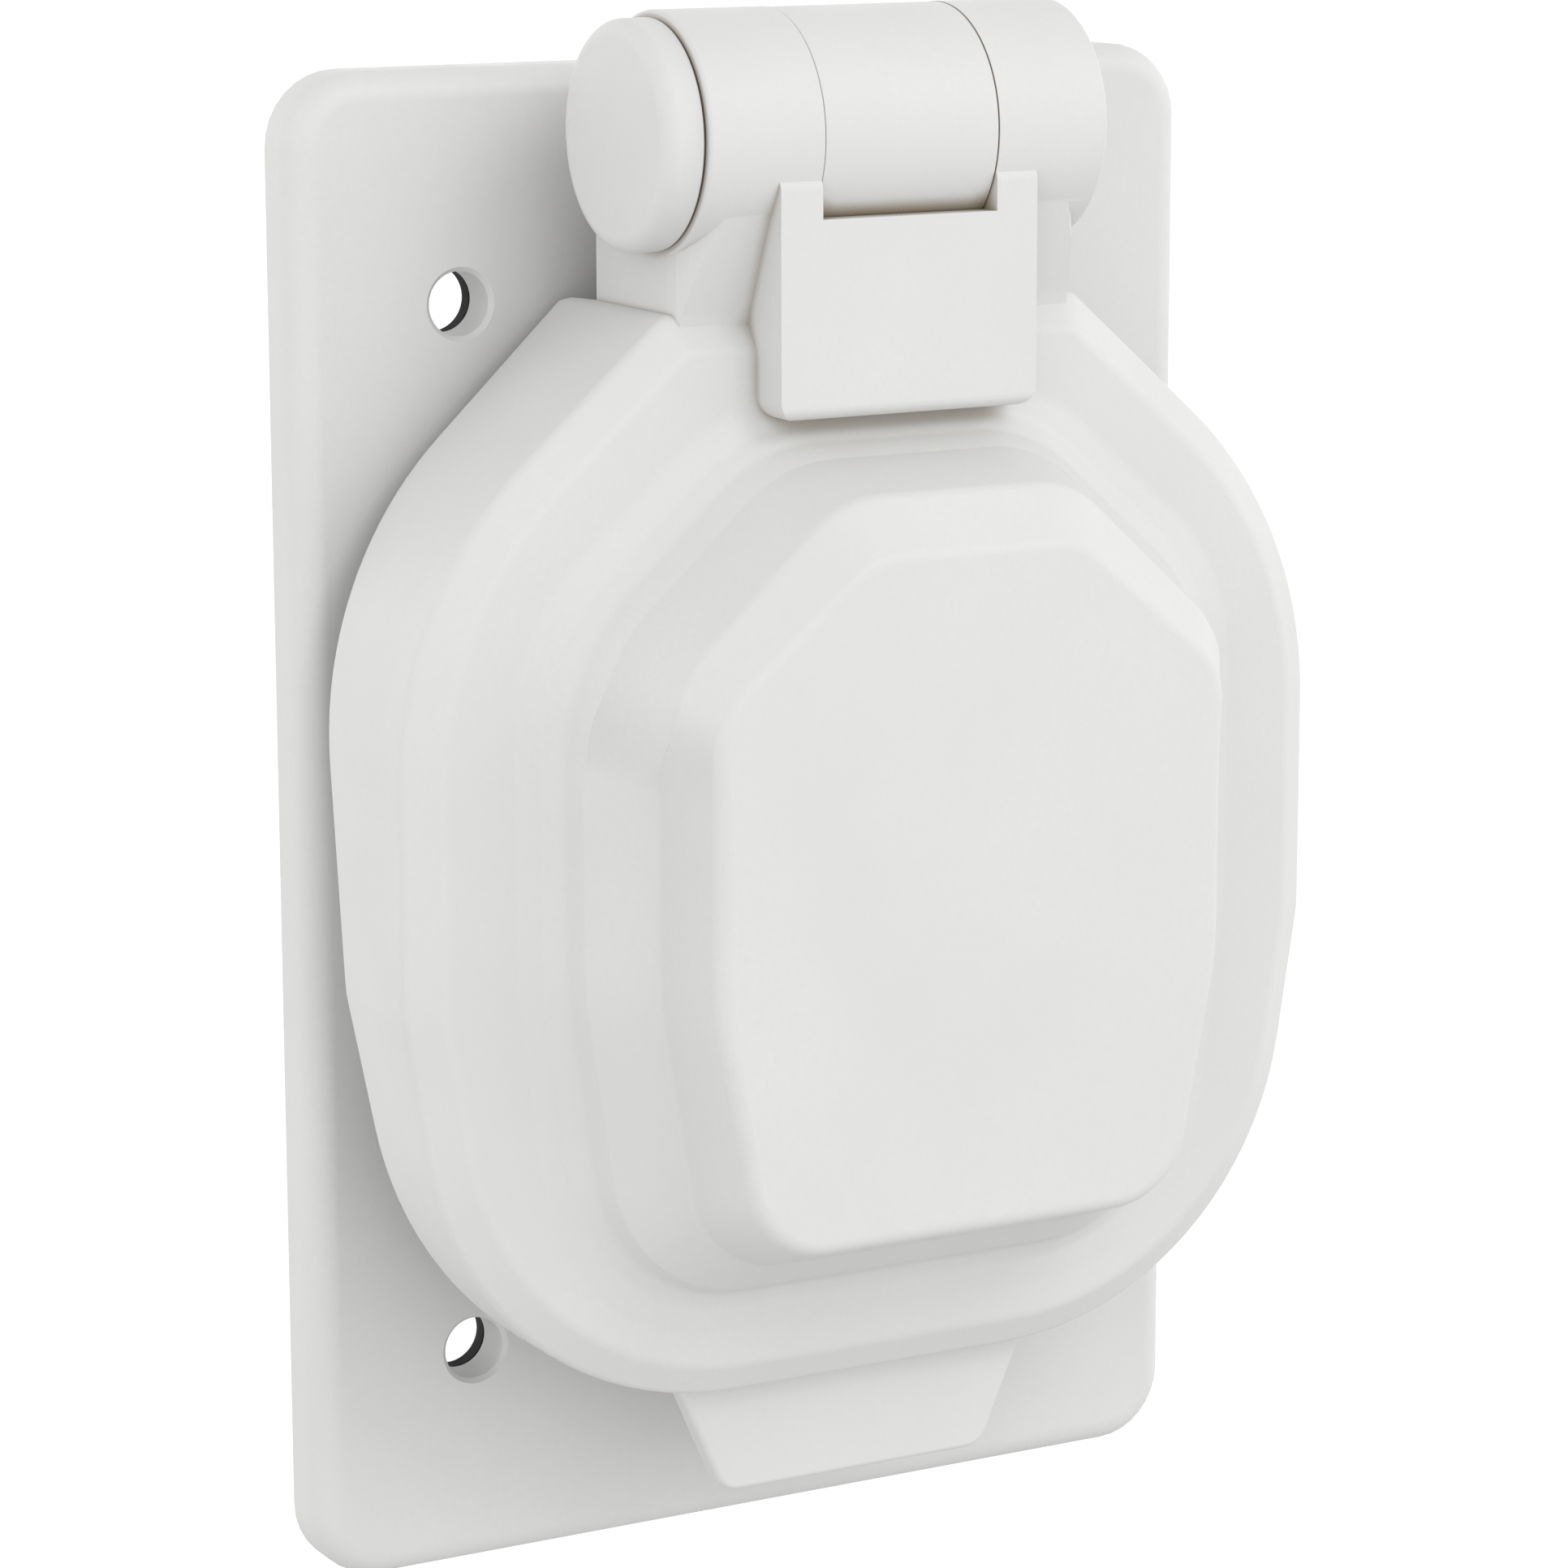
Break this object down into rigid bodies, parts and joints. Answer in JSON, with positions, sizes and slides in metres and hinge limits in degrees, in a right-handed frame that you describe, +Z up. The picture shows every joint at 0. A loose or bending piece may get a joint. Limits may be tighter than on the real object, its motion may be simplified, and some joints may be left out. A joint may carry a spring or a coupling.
{
  "type": "flanged power inlet",
  "caption": "Male generator power inlet on a rectangular wall plate, closed by a spring-loaded flip lid with a stepped cap and a lift tab.",
  "frame": {"origin": "centre of the wall plate's rear face, where it meets the wall box", "axes": "+X to the right seen from the front, +Y into the wall, +Z up"},
  "size_m": [0.0768, 0.0638, 0.1189],
  "materials": {
    "shell_plastic": "satin off-white moulded plastic with a fine grain",
    "inlet_nylon": "satin off-white nylon",
    "terminal_nylon": "matt dark glass-filled nylon",
    "gasket_rubber": "matt black foam rubber",
    "brass": "stamped brass",
    "nickel": "nickel-plated brass",
    "steel": "zinc-plated steel",
    "green_screw": "green dyed zinc plating"
  },
  "bodies": {
    "inlet_base": {"wall_plate": "shell_plastic", "wall_gasket": "gasket_rubber", "seal_collar": "shell_plastic", "hinge_pin": "steel", "hinge_pin_retainer": "steel", "torsion_spring": "steel", "inlet_front_body": "inlet_nylon", "flange_gasket": "gasket_rubber", "inlet_rear_body": "terminal_nylon", "inlet_rear_cover": "terminal_nylon", "line_blade": "brass", "neutral_blade": "nickel", "ground_pin": "brass", "flange_screw_left": "steel", "flange_screw_right": "steel", "body_screw_top_left": "steel", "body_screw_top_right": "steel", "body_screw_bottom": "steel"},
    "lid": {"flip_lid": "shell_plastic", "lid_gasket": "gasket_rubber", "hinge_end_cap": "shell_plastic"},
    "line_terminal": {"line_clamp": "steel", "line_terminal_screw": "brass"},
    "neutral_terminal": {"neutral_clamp": "steel", "neutral_terminal_screw": "nickel"},
    "ground_terminal": {"ground_clamp": "steel", "ground_terminal_screw": "green_screw"}
  },
  "joints": [
    {"name": "lid_hinge", "type": "hinge", "parent": "inlet_base", "child": "lid", "pos_m": [0, -0.0195, 0.053], "axis": [-1, 0, 0], "range_deg": [0, 165], "stiffness_Nm_per_rad": 0.02, "springref_deg": -68.75},
    {"name": "line_clamp_slide", "type": "slide", "parent": "inlet_base", "child": "line_terminal", "axis": [-1, 0, 0], "range_m": [0, 0.0024]},
    {"name": "neutral_clamp_slide", "type": "slide", "parent": "inlet_base", "child": "neutral_terminal", "axis": [1, 0, 0], "range_m": [0, 0.0024]},
    {"name": "ground_clamp_slide", "type": "slide", "parent": "inlet_base", "child": "ground_terminal", "axis": [0, 0, -1], "range_m": [0, 0.0024]}
  ]
}
